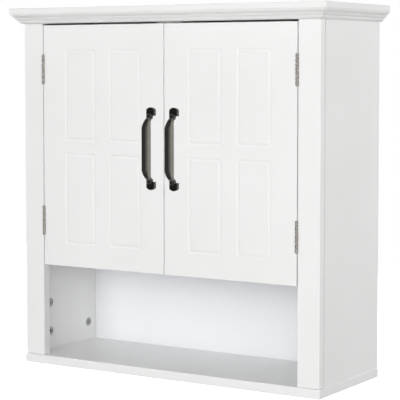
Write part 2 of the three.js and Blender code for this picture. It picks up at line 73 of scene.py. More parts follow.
# Boards and doors
EDGE = 0.7 * MM
BOTTOM_EDGE = 1.4 * MM
SHARP_EDGE = 0.25 * MM
BACK_EDGE = 0.1 * MM
EDGE_STEPS = 4
SEAM = 0.3 * MM
CLOSED = 0.28 * MM  # how far a board reaches into a seam that stays shut
STILE_QUIRK = 0.7 * MM
GROOVE_WIDTH = 6 * MM
GROOVE_DEPTH = 0.6 * MM
GROOVE_CORNER = 3.2 * MM
GROOVE_LIP = 0.3 * MM
GROOVE_LEAST = 0.08 * MM  # depth at both edges of the round bottom
GROOVE_FACETS = 10
FRAME_SIDE_MARGIN = 44.5 * MM
FRAME_TOP_MARGIN = 40 * MM
FRAME_BOTTOM_MARGIN = 37.5 * MM
FRAME_COLUMN_GAP = 27.3 * MM
FRAME_ROW_GAP = 19.4 * MM

# Bores and pockets
CAM_BORE_WIDER = 0.2 * MM
CAM_BORE_DEEPER = 0.6 * MM
PIN_BORE = 2.6 * MM
PIN_BORE_DEPTH = 9 * MM
PIN_ROWS = 62 * MM
HANGER_SEAT_CORNER = 2 * MM
HANGER_WELL_INSET = (14 * MM, 3 * MM)
HANGER_WELL_DEPTH = 10 * MM

# Crown
OVERHANG = 18.5 * MM
REED = 4.6 * MM
REED_HEIGHT = 4.8 * MM
REED_BULGE = 0.7 * MM
REED_STEPS = 8
FIRST_REED = 3.2 * MM
REED_PITCH = 5 * MM
REED_STEP = 0.2 * MM  # the small steps under the first reed and over the last one
SECOND_REED_UP = 5.4 * MM
REED_GROOVE = 0.1 * MM  # rise of the groove's floor between two reeds
TOP_REED_UP = 0.4 * MM
FASCIA_STEP = 0.6 * MM
FASCIA_EASE = (0.25 * MM, 0.3 * MM)
TOP_EASE = 1 * MM
TOP_CORNER = 0.8 * MM
MITRE_GAP = 0.2 * MM

# Hinges
KNUCKLES = 7
KNUCKLE_RADIUS = 2.5 * MM
KNUCKLE_GAP = 0.45 * MM
KNUCKLE_CHAMFER = 0.55 * MM
PIN_CORE = 1.1 * MM
PIN_TIP = 2.1 * MM
PIN_TIP_RISE = 0.8 * MM
PIN_TIP_COLLAR = 1 * MM
BARREL_RELIEF = 0.5 * MM
BARREL_INSET = 0.8 * MM
LEAF_NEAR = 0.1 * MM  # a leaf's two faces, from the middle of the gap
LEAF_FAR = 0.75 * MM
FINGER_ROOT = 1.6 * MM
LEAF_SCREW_SPACING = 16.5 * MM
LEAF_SCREW_STAGGER = 1.6 * MM

# Screws, each as head radius, head height, shank radius and shank length
LEAF_SCREW = (2.6 * MM, 0.08 * MM, 0.4 * MM, 0.3 * MM)
HANGER_SCREW = (3.4 * MM, 0.5 * MM, 1.8 * MM, 1.5 * MM)
STRIKE_SCREW = (2.6 * MM, 0.55 * MM, 1.2 * MM, 0.6 * MM)
HANDLE_SCREW_RISE = 2.4 * MM
HANDLE_SCREW_SHANK = 1.9 * MM
DRIVE_ARM = (0.55, 0.2)  # half length and half width, as shares of the head's radius
DRIVE_TAPER = 0.6
DRIVE_DEPTH = 0.9 * MM
DRIVE_SINK = 0.8
LEAF_SCREW_TURN = 20  # degrees of the middle screw, and from one screw to the next
LEAF_SCREW_TURN_STEP = 35

# Handles
SCREW_HOLE = 2.4 * MM
GRIP_HALF = 7.4 * MM
GRIP_THICK = 10.8 * MM
GRIP_SECTION = ((0.53, 0), (0.76, 0.15), (1.0, 0.87), (0.84, 1.0))  # shares of half and thick
GRIP_SOFTNESS = 0.12  # corner radius of that section, as a share of half
NECK_HALF = 4.1 * MM
NECK_THICK = 6.4 * MM
NECK_OVERLAP = 0.4 * MM
STRAIGHT_HALF = 31.5 * MM
BEND_END = 55 * MM
BEND_SHORT = 0.1 * MM  # the bow stops this much before the end of its bends
BOW_SLICES = 72
FOOT_WIDTH = 15.6 * MM
FOOT_HEIGHT = 13.5 * MM
FOOT_THICK = 7 * MM
FOOT_RISE = 3.8 * MM
FOOT_EASE = 1.6 * MM
FOOT_FACETS = 12
BALL_RADIUS = 5.6 * MM
BALL_OUT = 7.6 * MM
BALL_UP = 51.5 * MM
NICKEL_SHADED_ENDS = (0.64, 0.74)  # where the grip's base colour turns to the darker ends', painted shade for their darker reflections, as shares of the handle's half length

# Small fittings
CAM_RIM = 1.1 * MM
CAM_DISH = 0.7 * MM
CAM_EASE = 0.3 * MM
CAM_LIP = 0.25 * MM
CAM_BOSS = (0.62, 0.58)  # foot and top of the middle, as shares of the radius
CAM_BOSS_DROP = 0.15 * MM
CAM_SLOT_REACH = 0.5  # half length of a drive slot, as a share of the radius
CAM_SLOT_HALF = 0.9 * MM
CAM_SLOT_DEPTH = 3 * MM
CAM_TURN = 15  # degrees of the first cam, and from one cam to the next
CAM_TURN_STEP = 37
SHELF_PIN_PROFILE = (  # radius and distance from the inner end, in millimetres
    (1.9, 0), (2.3, 0.15), (2.45, 0.5), (2.45, 5.7), (3.35, 5.72), (3.6, 5.9),
    (3.6, 6.25), (3.35, 6.4), (2.45, 6.42), (2.45, 14.2), (2.0, 14.5),
)
KEYHOLE_ENTRY = 4.5 * MM
KEYHOLE_SLOT = 2.2 * MM
KEYHOLE_ENTRY_DOWN = 2.5 * MM
KEYHOLE_SLOT_UP = 4.3 * MM
KEYHOLE_FACETS = (28, 12)
HANGER_CORNER = 1.6 * MM
HANGER_SCREW_OFFSET = 24 * MM
HANGER_SCREW_SUNK = 0.45 * MM
PRESSED_EDGE = 0.2 * MM
CATCH_CORNER = 2 * MM
CATCH_EASE = 1 * MM
MAGNET_CLEARANCE = 0.12 * MM
MAGNET_CORNER = 0.6 * MM
MAGNET_EASE = 0.35 * MM
STRIKE_CORNER = 2.2 * MM
STRIKE_SCREW_UP = 5 * MM
STRIKE_SCREW_SUNK = 0.05 * MM


# ------------------------------------------------------------------ outlines

def rounded_rectangle(low, high, radius, steps=EDGE_STEPS):
    """A rectangle with quarter-circle corners, as points that run counter-clockwise."""
    (u0, v0), (u1, v1) = low, high
    centres = (
        (u1 - radius, v0 + radius, -90),
        (u1 - radius, v1 - radius, 0),
        (u0 + radius, v1 - radius, 90),
        (u0 + radius, v0 + radius, 180),
    )
    points = []
    for cu, cv, start in centres:
        for step in range(steps + 1):
            angle = math.radians(start + 90 * step / steps)
            points.append((cu + radius * math.cos(angle), cv + radius * math.sin(angle)))
    return points


def circle(centre, radius, sides=40):
    turns = [2 * math.pi * i / sides for i in range(sides)]
    return [(centre[0] + radius * math.cos(a), centre[1] + radius * math.sin(a)) for a in turns]


def inset(outline, distance):
    """The outline moved inwards by a distance; it runs counter-clockwise and stays convex."""
    moved = []
    for i, point in enumerate(outline):
        here = Vector(point)
        before = (here - Vector(outline[i - 1])).normalized()
        after = (Vector(outline[(i + 1) % len(outline)]) - here).normalized()
        in_before = Vector((-before.y, before.x))
        in_after = Vector((-after.y, after.x))
        moved.append(tuple(here + (in_before + in_after) * (distance / (1 + in_before.dot(in_after)))))
    return moved


def softened(outline, radius, steps=3):
    """The outline with each corner rounded off, at most a radius back along its sides."""
    points = []
    for i, corner in enumerate(outline):
        here = Vector(corner)
        sides = [Vector(outline[i - 1]) - here, Vector(outline[(i + 1) % len(outline)]) - here]
        start, end = [here + side.normalized() * min(radius, side.length * 0.45) for side in sides]
        for step in range(steps + 1):
            t = step / steps
            points.append(tuple(start * (1 - t) ** 2 + here * 2 * t * (1 - t) + end * t ** 2))
    return points


# ------------------------------------------------------------------ mesh building

def spot(axis, u, v, w):
    """The point at u, v in the plane across an axis, and at w along it."""
    return {"x": (w, u, v), "y": (u, w, v), "z": (u, v, w)}[axis]


def flat(axis, point):
    """The reverse of spot."""
    x, y, z = point
    return {"x": (y, z, x), "y": (x, z, y), "z": (x, y, z)}[axis]


def strip(bm, first, second):
    """Quads between two closed rings with as many points each."""
    for i in range(len(first)):
        j = (i + 1) % len(first)
        bm.faces.new((first[i], first[j], second[j], second[i]))


def stack(bm, axis, layers):
    """Joins (outline, height) layers one after another, and gives the first and last ring."""
    rings = [[bm.verts.new(spot(axis, u, v, w)) for u, v in outline] for outline, w in layers]
    for first, second in zip(rings, rings[1:]):
        strip(bm, first, second)
    return rings[0], rings[-1]


def cap(bm, rim, openings=()):
    """A flat face inside a rim, open inside the openings' rims."""
    if not openings:
        bm.faces.new(rim)
        return
    edges = [
        bm.edges.get((loop[i - 1], loop[i])) for loop in (rim, *openings) for i in range(len(loop))
    ]
    bmesh.ops.triangle_fill(bm, edges=edges, use_beauty=True, use_dissolve=False)


def plate(bm, axis, outline, low, high, edge, low_openings=(), high_openings=()):
    """A flat piece between two heights whose long edges are rounded."""
    turns = [math.radians(90 * i / EDGE_STEPS) for i in range(EDGE_STEPS + 1)]
    rise = [(inset(outline, edge * (1 - math.sin(a))), edge * (1 - math.cos(a))) for a in turns]
    layers = [(points, low + up) for points, up in rise]
    layers += [(points, high - up) for points, up in reversed(rise)]
    first, last = stack(bm, axis, layers)
    cap(bm, first, low_openings)
    cap(bm, last, high_openings)


def board(bm, axis, corners, edge=EDGE, low_openings=(), high_openings=()):
    """A board between two corners, thin along the axis, with every edge rounded."""
    u0, v0, w0 = flat(axis, corners[0])
    u1, v1, w1 = flat(axis, corners[1])
    outline = rounded_rectangle((u0, v0), (u1, v1), edge + THIN)
    plate(bm, axis, outline, w0, w1, edge, low_openings, high_openings)


def pocket(bm, axis, outline, mouth, floor, ease=MOUTH_EASE):
    """A blind hollow with an eased mouth; gives its rim for cap()."""
    inward = math.copysign(ease, floor - mouth)
    wide = inset(outline, -ease)
    first, last = stack(bm, axis, [(wide, mouth), (outline, mouth + inward), (outline, floor)])
    cap(bm, last)
    return first


def passage(bm, axis, outline, low, high):
    """A hole right through; gives its rims on both faces."""
    return stack(bm, axis, [(outline, low), (outline, high)])


def loft(bm, rings):
    """A closed body through rings of 3D points."""
    rows = [[bm.verts.new(point) for point in points] for points in rings]
    for first, second in zip(rows, rows[1:]):
        strip(bm, first, second)
    bm.faces.new(rows[0])
    bm.faces.new(rows[-1])


def lathe(bm, axis, centre, profile, sides=40):
    """A turned body from (radius, height) points; it is closed flat at both ends."""
    cu, cv, cw = flat(axis, centre)
    first, last = stack(bm, axis, [(circle((cu, cv), r, sides), cw + h) for r, h in profile])
    cap(bm, first)
    cap(bm, last)


def new_mesh(bm, name):
    """The finished mesh: outward faces, smooth except across sharp edges."""
    bmesh.ops.recalc_face_normals(bm, faces=bm.faces)
    for edge in bm.edges:
        edge.smooth = len(edge.link_faces) != 2 or edge.calc_face_angle() < SHARP_ANGLE
    for face in bm.faces:
        face.smooth = True
    mesh = bpy.data.meshes.new(name)
    bm.to_mesh(mesh)
    bm.free()
    return mesh


def shown(name, mesh, material, body, replaced=()):
    """Puts a mesh in the scene as a piece that rides on a body."""
    mesh.materials.append(material)
    obj = bpy.data.objects.new(name, mesh)
    bpy.context.scene.collection.objects.link(obj)
    normals = obj.modifiers.new("even_normals", "WEIGHTED_NORMAL")
    normals.keep_sharp = True
    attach(obj, body)
    if replaced:
        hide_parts(*replaced)
    return obj


def combined(builders, operation="UNION"):
    """One closed mesh from several overlapping ones, or the first with the others cut out of it."""
    objects = []
    for build in builders:
        bm = bmesh.new()
        build(bm)
        obj = bpy.data.objects.new("part", new_mesh(bm, "part"))
        bpy.context.scene.collection.objects.link(obj)
        objects.append(obj)
    base, *others = objects
    for other in others:
        step = base.modifiers.new("combine", "BOOLEAN")
        step.operation = operation
        step.solver = "EXACT"
        step.object = other
    depsgraph = bpy.context.evaluated_depsgraph_get()
    result = bpy.data.meshes.new_from_object(base.evaluated_get(depsgraph))
    for obj in objects:
        bpy.data.objects.remove(obj)
    bm = bmesh.new()
    bm.from_mesh(result)
    bmesh.ops.remove_doubles(bm, verts=bm.verts, dist=WELD)
    return bm


def placed(bm, source, matrix):
    """Adds a moved copy of another bmesh."""
    count = len(bm.verts)
    copy = bpy.data.meshes.new("copy")
    source.to_mesh(copy)
    bm.from_mesh(copy)
    bpy.data.meshes.remove(copy)
    bm.verts.ensure_lookup_table()
    bmesh.ops.transform(bm, matrix=matrix, verts=bm.verts[count:])


# ------------------------------------------------------------------ materials

def node(tree, kind, **inputs):
    """A node with some of its inputs set or linked."""
    made = tree.nodes.new(kind)
    for name, value in inputs.items():
        socket = made.inputs[name.replace("_", " ")]
        if isinstance(value, bpy.types.NodeSocket):
            tree.links.new(value, socket)
        else:
            socket.default_value = value
    return made


def noise(tree, size, detail=2.0, stretch=(1, 1, 1)):
    """Object-space noise whose features are about as large as size, in metres."""
    place = tree.nodes.new("ShaderNodeTexCoord").outputs["Object"]
    mapping = node(tree, "ShaderNodeMapping", Vector=place, Scale=stretch)
    made = node(
        tree, "ShaderNodeTexNoise", Vector=mapping.outputs["Vector"], Scale=1 / size, Detail=detail
    )
    return made.outputs["Fac"]


def remap(tree, value, low, high, dark=0.3, light=0.7):
    """Turns a noise value into a number between low and high."""
    made = node(
        tree, "ShaderNodeMapRange", Value=value,
        From_Min=dark, From_Max=light, To_Min=low, To_Max=high,
    )
    return made.outputs["Result"]


def blend_colours(tree, value, first, second, dark=0.3, light=0.7):
    """A colour ramp between two colours over the middle of a noise."""
    ramp = node(tree, "ShaderNodeValToRGB", Fac=value)
    ramp.color_ramp.elements[0].position = dark
    ramp.color_ramp.elements[0].color = (*first, 1)
    ramp.color_ramp.elements[1].position = light
    ramp.color_ramp.elements[1].color = (*second, 1)
    return ramp.outputs["Color"]


def bump(tree, height, distance, under=None):
    """A bump of a real depth, on top of another one."""
    made = node(tree, "ShaderNodeBump", Height=height, Distance=distance, Strength=1.0)
    if under is not None:
        tree.links.new(under, made.inputs["Normal"])
    return made.outputs["Normal"]


def new_material(name, metallic=0.0):
    material = bpy.data.materials.new(name)
    material.use_nodes = True
    shader = material.node_tree.nodes["Principled BSDF"]
    shader.inputs["Metallic"].default_value = metallic
    return material, material.node_tree, shader


def connect(tree, shader, colour, roughness, normal):
    tree.links.new(colour, shader.inputs["Base Color"])
    tree.links.new(roughness, shader.inputs["Roughness"])
    tree.links.new(normal, shader.inputs["Normal"])


def painted(name, first, second, roughness):
    """Sprayed satin paint: faint clouding, orange peel and a slow waviness of the board under it."""
    material, tree, shader = new_material(name)
    colour = blend_colours(tree, noise(tree, 0.16, 3), first, second)
    gloss = remap(tree, noise(tree, 0.03, 4), roughness - 0.04, roughness + 0.04)
    waves = bump(tree, noise(tree, 0.045, 1), 0.06 * MM)
    peel = bump(tree, noise(tree, 1.6 * MM, 1), 0.012 * MM, waves)
    connect(tree, shader, colour, gloss, peel)
    shader.inputs["Specular IOR Level"].default_value = 0.45
    return material


def hardboard():
    """The raw rear of the back panel: pressed fibres, brown, with a faint screen pattern."""
    material, tree, shader = new_material("raw_hardboard")
    fibres = noise(tree, 1.1 * MM, 6, (1, 1, 0.45))
    colour = blend_colours(tree, fibres, (0.20, 0.115, 0.058), (0.36, 0.235, 0.135))
    rough = remap(tree, noise(tree, 6 * MM, 3), 0.72, 0.9)
    connect(tree, shader, colour, rough, bump(tree, fibres, 0.12 * MM))
    return material


def metal(name, first, second, roughness, grain, depth, stretch, metallic):
    """A metal whose colour and gloss drift a little over a fine grain."""
    material, tree, shader = new_material(name, metallic)
    colour = blend_colours(tree, noise(tree, 7 * MM, 4), first, second)
    gloss = remap(tree, noise(tree, 2.4 * MM, 4), roughness * 0.85, roughness * 1.2)
    fine = bump(tree, noise(tree, grain, 3, stretch), depth)
    connect(tree, shader, colour, gloss, fine)
    return material


def nickel_with_shaded_ends():
    """Black nickel whose base colour is lighter along the grip and nearly black at both ends; the dark
    ends are painted shade for their darker reflections.
    """
    material, tree, shader = new_material("dark_nickel", 1.0)
    low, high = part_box("handle_left")
    place = tree.nodes.new("ShaderNodeTexCoord").outputs["Object"]
    height = node(tree, "ShaderNodeSeparateXYZ", Vector=place).outputs["Z"]
    from_middle = node(
        tree, "ShaderNodeMapRange", Value=height,
        From_Min=low.z, From_Max=high.z, To_Min=-1.0, To_Max=1.0,
    )
    distance = tree.nodes.new("ShaderNodeMath")
    distance.operation = "ABSOLUTE"
    tree.links.new(from_middle.outputs["Result"], distance.inputs[0])
    clouds = noise(tree, 7 * MM, 4)
    grip = blend_colours(tree, clouds, (0.250, 0.237, 0.212), (0.290, 0.274, 0.248))
    end = blend_colours(tree, clouds, (0.105, 0.100, 0.090), (0.125, 0.118, 0.106))
    # blend from the grip's colour to the ends' painted shade, by distance from the handle's middle
    shaded_ends = node(
        tree, "ShaderNodeMapRange", Value=distance.outputs["Value"],
        From_Min=NICKEL_SHADED_ENDS[0], From_Max=NICKEL_SHADED_ENDS[1], To_Min=0.0, To_Max=1.0,
    )
    colour = tree.nodes.new("ShaderNodeMix")
    colour.data_type = "RGBA"
    tree.links.new(shaded_ends.outputs["Result"], colour.inputs["Factor"])
    tree.links.new(grip, colour.inputs[6])
    tree.links.new(end, colour.inputs[7])
    gloss = remap(tree, noise(tree, 2.4 * MM, 4), 0.13, 0.18)
    fine = bump(tree, noise(tree, 0.8 * MM, 3), 0.006 * MM)
    connect(tree, shader, colour.outputs[2], gloss, fine)
    return material


def moulded(name, first, second, roughness):
    """Moulded plastic or pressed ferrite with a fine even texture."""
    material, tree, shader = new_material(name)
    colour = blend_colours(tree, noise(tree, 5 * MM, 3), first, second)
    gloss = remap(tree, noise(tree, 1.5 * MM, 3), roughness - 0.05, roughness + 0.05)
    connect(tree, shader, colour, gloss, bump(tree, noise(tree, 0.35 * MM, 2), 0.01 * MM))
    return material


def floor_finish():
    """Pale, even and bright enough to stay white."""
    material, tree, shader = new_material("studio_floor")
    tint = blend_colours(tree, noise(tree, 0.6, 2), (0.90, 0.90, 0.90), (0.93, 0.93, 0.93))
    relief = bump(tree, noise(tree, 0.01, 1), 0.02 * MM)
    connect(tree, shader, tint, remap(tree, noise(tree, 0.2, 2), 0.85, 0.95), relief)
    shader.inputs["Emission Color"].default_value = (1, 1, 1, 1)
    shader.inputs["Emission Strength"].default_value = FLOOR_GLOW
    return material


paint = painted("white_satin_paint", (0.860, 0.858, 0.852), (0.885, 0.883, 0.878), 0.32)
laminate = painted("white_laminate", (0.865, 0.880, 0.905), (0.885, 0.897, 0.918), 0.48)
fibreboard = hardboard()
dark_nickel = nickel_with_shaded_ends()
satin_nickel = metal(
    "satin_nickel", (0.53, 0.50, 0.465), (0.65, 0.62, 0.585), roughness=0.26,
    grain=0.3 * MM, depth=0.006 * MM, stretch=(1, 1, 0.08), metallic=0.7,
)
zinc = metal(
    "bright_zinc", (0.40, 0.40, 0.39), (0.52, 0.52, 0.51), roughness=0.34,
    grain=0.5 * MM, depth=0.01 * MM, stretch=(1, 1, 1), metallic=0.85,
)
white_plastic = moulded("white_plastic", (0.78, 0.78, 0.765), (0.83, 0.83, 0.815), 0.42)
magnet_block = moulded("magnet_ferrite", (0.055, 0.055, 0.060), (0.095, 0.095, 0.10), 0.5)


# ------------------------------------------------------------------ carcass

def middle(name):
    low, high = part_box(name)
    return (low + high) / 2


def widened(name, clear, radius):
    """The outline of a node's box seen from the front, moved out by a clearance."""
    low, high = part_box(name)
    return rounded_rectangle((low.x - clear, low.z - clear), (high.x + clear, high.z + clear), radius)


def shown_board(name, axis, **options):
    """A CAD board again, with rounded edges."""
    bm = bmesh.new()
    board(bm, axis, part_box(name), **options)
    shown(f"{name}_board", new_mesh(bm, name), paint, "cabinet", [name])


def side_panel(side):
    """A side panel with bores for its cam fittings and three rows of shelf pins on the inner face.

    It stands tight on the bottom board. Its front edge, seen in the stile's quirk, is left raw brown
    board, a dark face that also stands in for painted shade inside that seam.
    """
    name = f"side_panel_{side}"
    low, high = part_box(name)
    low.z -= CLOSED
    inner, inward = (low.x, 1) if SIDES[side] > 0 else (high.x, -1)
    bm = bmesh.new()
    openings = []
    for cam in [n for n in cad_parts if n.startswith(f"cam_{side}_")]:
        cam_low, cam_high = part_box(cam)
        centre = middle(cam)
        radius = (cam_high.z - cam_low.z) / 2 + CAM_BORE_WIDER
        floor = inner + inward * (cam_high.x - cam_low.x + CAM_BORE_DEEPER)
        openings.append(pocket(bm, "x", circle((centre.y, centre.z), radius), inner, floor))
    for pin in [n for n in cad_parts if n.startswith(f"shelf_pin_{side}_")]:
        centre = middle(pin)
        for row in (-1, 0, 1):
            outline = circle((centre.y, centre.z + row * PIN_ROWS), PIN_BORE, BORE_SIDES)
            openings.append(pocket(bm, "x", outline, inner, inner + inward * PIN_BORE_DEPTH))
    faces = {"low_openings" if inner == low.x else "high_openings": openings}
    board(bm, "x", (low, high), edge=SHARP_EDGE, **faces)
    panel = shown(f"{name}_board", new_mesh(bm, name), paint, "cabinet", [name])
    panel.data.materials.append(fibreboard)
    # front-facing faces get the raw brown board, dark enough to paint the shade inside the quirk's seam
    for face in panel.data.polygons:
        face.material_index = 1 if face.normal.y < FACES_FRONT else 0


def barrel_reliefs(side):
    """Tools for the round notches in the board edges that clear the barrels of one side's hinges."""
    tools = []
    for level in LEVELS:
        low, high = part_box(f"hinge_pin_{side}_{level}")
        centre = (low + high) / 2
        half = (high.z - low.z) / 2 + BARREL_RELIEF
        radius = KNUCKLE_RADIUS + BARREL_RELIEF
        ends = [(radius, -half), (radius, half)]
        tools.append(
            lambda bm, place=tuple(centre), ends=ends: lathe(bm, "z", place, ends, LARGE_TURNED_SIDES)
        )
    return tools


def stile(side):
    """An upright of the face frame: notched for the hinge barrels, with a quirk at the side panel."""
    name = f"stile_{side}"
    low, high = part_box(name)
    outer = high.x if SIDES[side] > 0 else low.x
    quirk = [
        Vector((outer + turn * STILE_QUIRK, high.y + turn * STILE_QUIRK, end + turn * MM))
        for turn, end in ((-1, low.z), (1, high.z))
    ]
    tools = [lambda bm: board(bm, "y", quirk, edge=THIN), *barrel_reliefs(side)]
    bm = combined([lambda bm: board(bm, "y", (low, high)), *tools], "DIFFERENCE")
    shown(f"{name}_board", new_mesh(bm, name), paint, "cabinet", [name])


def back_panel():
    """Laminate on the front, raw hardboard behind and on the edges; tight between the boards."""
    low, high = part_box("back_panel")
    tight = Vector((CLOSED, 0, CLOSED))
    bm = bmesh.new()
    board(bm, "y", (low - tight, high + tight), edge=BACK_EDGE)
    panel = shown(
        "back_panel_sheet", new_mesh(bm, "back_panel"), laminate, "cabinet",
        ["back_panel"],
    )
    panel.data.materials.append(fibreboard)
    for face in panel.data.polygons:
        face.material_index = 0 if face.normal.y < FACES_FRONT else 1


def upper_rail():
    """The rail at the wall, rebated for the hanger plates, with a deeper pocket behind each keyhole."""
    name = "hanging_rail_upper"
    low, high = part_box(name)
    bm = bmesh.new()
    rims = []
    for side in SIDES:
        plate_low, plate_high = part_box(f"hanger_plate_{side}")
        seat = widened(f"hanger_plate_{side}", SEAM, HANGER_SEAT_CORNER)
        across, up = HANGER_WELL_INSET
        well = rounded_rectangle(
            (plate_low.x + across, plate_low.z + up), (plate_high.x - across, plate_high.z - up),
            HANGER_SEAT_CORNER,
        )
        depth = plate_low.y - SEAM
        rim, step = stack(bm, "y", [(seat, high.y), (seat, depth)])
        cap(bm, step, [pocket(bm, "y", well, depth, high.y - HANGER_WELL_DEPTH)])
        rims.append(rim)
    board(bm, "y", (low, high), high_openings=rims)
    shown(f"{name}_board", new_mesh(bm, name), paint, "cabinet", [name])


def reed(reach, height):
    """A bulging reed as (reach, height), from the inner end of its underside to its outer end."""
    points = []
    for step in range(REED_STEPS + 1):
        along = step / REED_STEPS
        out = REED_BULGE * math.sqrt(0.5) * math.sin(math.pi * along)
        points.append((reach + REED * along + out, height + REED_HEIGHT * along - out))
    return points


def top_panel():
    """The top board, whose front and side edges carry a fascia over a rounded reed."""
    low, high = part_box("top_panel")
    body = Vector((high.x - OVERHANG, low.y + OVERHANG))
    height = high.z - low.z
    ease_out, ease_up = FASCIA_EASE
    section = reed(FIRST_REED + 2 * REED_PITCH, TOP_REED_UP)
    fascia = section[-1][1] + FASCIA_STEP
    section = [(section[0][0], 0), *section, (section[-1][0], fascia - REED_STEP)]
    section += [(OVERHANG - ease_out, fascia), (OVERHANG, fascia + ease_up)]
    for step in range(EDGE_STEPS + 1):
        angle = math.radians(90 * step / EDGE_STEPS)
        back, down = TOP_EASE * (1 - math.cos(angle)), TOP_EASE * (1 - math.sin(angle))
        section.append((OVERHANG - back, height - down))
    layers = []
    for reach, up in section:
        corners = (-body.x - reach, body.y - reach), (body.x + reach, high.y)
        layers.append((rounded_rectangle(*corners, TOP_CORNER), low.z + up))
    bm = bmesh.new()
    first, last = stack(bm, "z", layers)
    cap(bm, first)
    cap(bm, last)
    shown("top_panel_board", new_mesh(bm, "top_panel"), paint, "cabinet", ["top_panel"])


def crown_section():
    """The moulding under the top as (reach, height): two more reeds that step back to the body."""
    low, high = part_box("crown_front")
    height = high.z - low.z
    lower = reed(FIRST_REED, REED_STEP)
    upper = reed(FIRST_REED + REED_PITCH, SECOND_REED_UP)
    between = (lower[-1][0], SECOND_REED_UP - REED_GROOVE)
    underside = [(SEAM, 0), (FIRST_REED - REED_STEP, 0)]
    return [*underside, *lower, between, *upper[:-1], (upper[-1][0], height), (SEAM, height)]


def crown():
    """Three lengths of moulding, mitred at the front corners."""
    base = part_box("crown_front")[0].z
    low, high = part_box("top_panel")
    half = high.x - OVERHANG
    face = low.y + OVERHANG
    section = crown_section()
    bm = bmesh.new()
    ends = []
    for side in (1, -1):
        ends.append([(side * (half + r - MITRE_GAP), face - r, base + h) for r, h in section])
    loft(bm, ends)
    name = "crown_front"
    shown(f"{name}_moulding", new_mesh(bm, name), paint, "cabinet", [name])
    for side, sign in SIDES.items():
        bm = bmesh.new()
        loft(bm, [
            [(sign * (half + r), high.y, base + h) for r, h in section],
            [(sign * (half + r), face - r + MITRE_GAP, base + h) for r, h in section],
        ])
        name = f"crown_{side}"
        shown(f"{name}_moulding", new_mesh(bm, name), paint, "cabinet", [name])


# ------------------------------------------------------------------ doors

def groove(bm, low, high, face):
    """A routed rectangle with rounded corners and a round bottom; gives its outer rim for cap()."""
    radius = (GROOVE_WIDTH ** 2 / 4 + GROOVE_DEPTH ** 2) / (2 * GROOVE_DEPTH)
    half_angle = math.asin(GROOVE_WIDTH / 2 / radius)
    middle_low = [c + GROOVE_WIDTH / 2 for c in low]
    middle_high = [c - GROOVE_WIDTH / 2 for c in high]
    across = [(GROOVE_WIDTH / 2 + GROOVE_LIP, 0)]
    for step in range(GROOVE_FACETS + 1):
        angle = half_angle * (1 - 2 * step / GROOVE_FACETS)
        depth = GROOVE_DEPTH - radius * (1 - math.cos(angle))
        across.append((radius * math.sin(angle), max(depth, GROOVE_LEAST)))
    across.append((-GROOVE_WIDTH / 2 - GROOVE_LIP, 0))
    layers = []
    for out, depth in across:
        outline = rounded_rectangle(
            [c - out for c in middle_low], [c + out for c in middle_high], GROOVE_CORNER + out, 6
        )
        layers.append((outline, face + depth))
    first, last = stack(bm, "y", layers)
    cap(bm, last)
    return first


def door(side):
    """A door with four routed rectangles and two holes for the handle screws."""
    name = f"door_{side}"
    low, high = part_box(name)
    width = (high.x - low.x - 2 * FRAME_SIDE_MARGIN - FRAME_COLUMN_GAP) / 2
    height = (high.z - low.z - FRAME_TOP_MARGIN - FRAME_BOTTOM_MARGIN - FRAME_ROW_GAP) / 2

    def panel(bm):
        front_rims, back_rims = [], []
        for column in range(2):
            for row in range(2):
                u = low.x + FRAME_SIDE_MARGIN + column * (width + FRAME_COLUMN_GAP)
                v = low.z + FRAME_BOTTOM_MARGIN + row * (height + FRAME_ROW_GAP)
                front_rims.append(groove(bm, (u, v), (u + width, v + height), low.y))
        for level in LEVELS:
            centre = middle(f"handle_screw_{side}_{level}")
            hole = circle((centre.x, centre.z), SCREW_HOLE, BORE_SIDES)
            rims = passage(bm, "y", hole, low.y, high.y)
            front_rims.append(rims[0])
            back_rims.append(rims[1])
        board(bm, "y", (low, high), low_openings=front_rims, high_openings=back_rims)

    bm = combined([panel, *barrel_reliefs(side)], "DIFFERENCE")
    shown(f"{name}_panel", new_mesh(bm, name), paint, name, [name])


# ------------------------------------------------------------------ handles

def bow(bm, out):
    """The bow in level slices: a straight faceted grip whose ends bend back and thin to two necks."""
    half_length = BEND_END - BEND_SHORT
    rings = []
    for step in range(BOW_SLICES + 1):
        z = half_length * math.sin(math.radians(90) * (2 * step / BOW_SLICES - 1))
        bend = min(max((abs(z) - STRAIGHT_HALF) / (BEND_END - STRAIGHT_HALF), 0), 1)
        slim = math.cos(math.radians(90) * bend) ** 2
        half = NECK_HALF + (GRIP_HALF - NECK_HALF) * slim
        thick = NECK_THICK + (GRIP_THICK - NECK_THICK) * slim
        face = (out - FOOT_THICK + NECK_OVERLAP) * bend ** 2 - out
        section = [(u * half, v * thick) for u, v in GRIP_SECTION]
        section += [(-u, v) for u, v in reversed(section)]
        rings.append([(u, face + v, z) for u, v in softened(section, GRIP_SOFTNESS * half)])
    loft(bm, rings)


def foot(bm, end, length):
    """A foot: square towards the grip, arched at its outer end, with a rounded face."""
    half = FOOT_WIDTH / 2
    tip = length / 2
    radius = (half ** 2 + FOOT_RISE ** 2) / (2 * FOOT_RISE)
    spread = math.asin(half / radius)
    outline = [(-half, tip - FOOT_HEIGHT), (half, tip - FOOT_HEIGHT)]
    for step in range(FOOT_FACETS + 1):
        angle = spread * (1 - 2 * step / FOOT_FACETS)
        outline.append((radius * math.sin(angle), tip - radius * (1 - math.cos(angle))))
    if end < 0:
        outline = [(-u, -v) for u, v in outline]
    plate(bm, "y", outline, -FOOT_THICK, 0, FOOT_EASE)


def ball(bm, end):
    """The small boss between the foot and the grip."""
    matrix = Matrix.Translation((0, -BALL_OUT, end * BALL_UP))
    bmesh.ops.create_uvsphere(bm, u_segments=40, v_segments=24, radius=BALL_RADIUS, matrix=matrix)


def handle_mesh():
    """A handle around the origin, with its feet's backs on Y = 0."""
    low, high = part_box("handle_left")
    out = high.y - low.y
    length = high.z - low.z
    parts = [lambda bm: bow(bm, out)]
    for end in (-1, 1):
        parts.append(lambda bm, end=end: foot(bm, end, length))
        parts.append(lambda bm, end=end: ball(bm, end))
    return combined(parts)


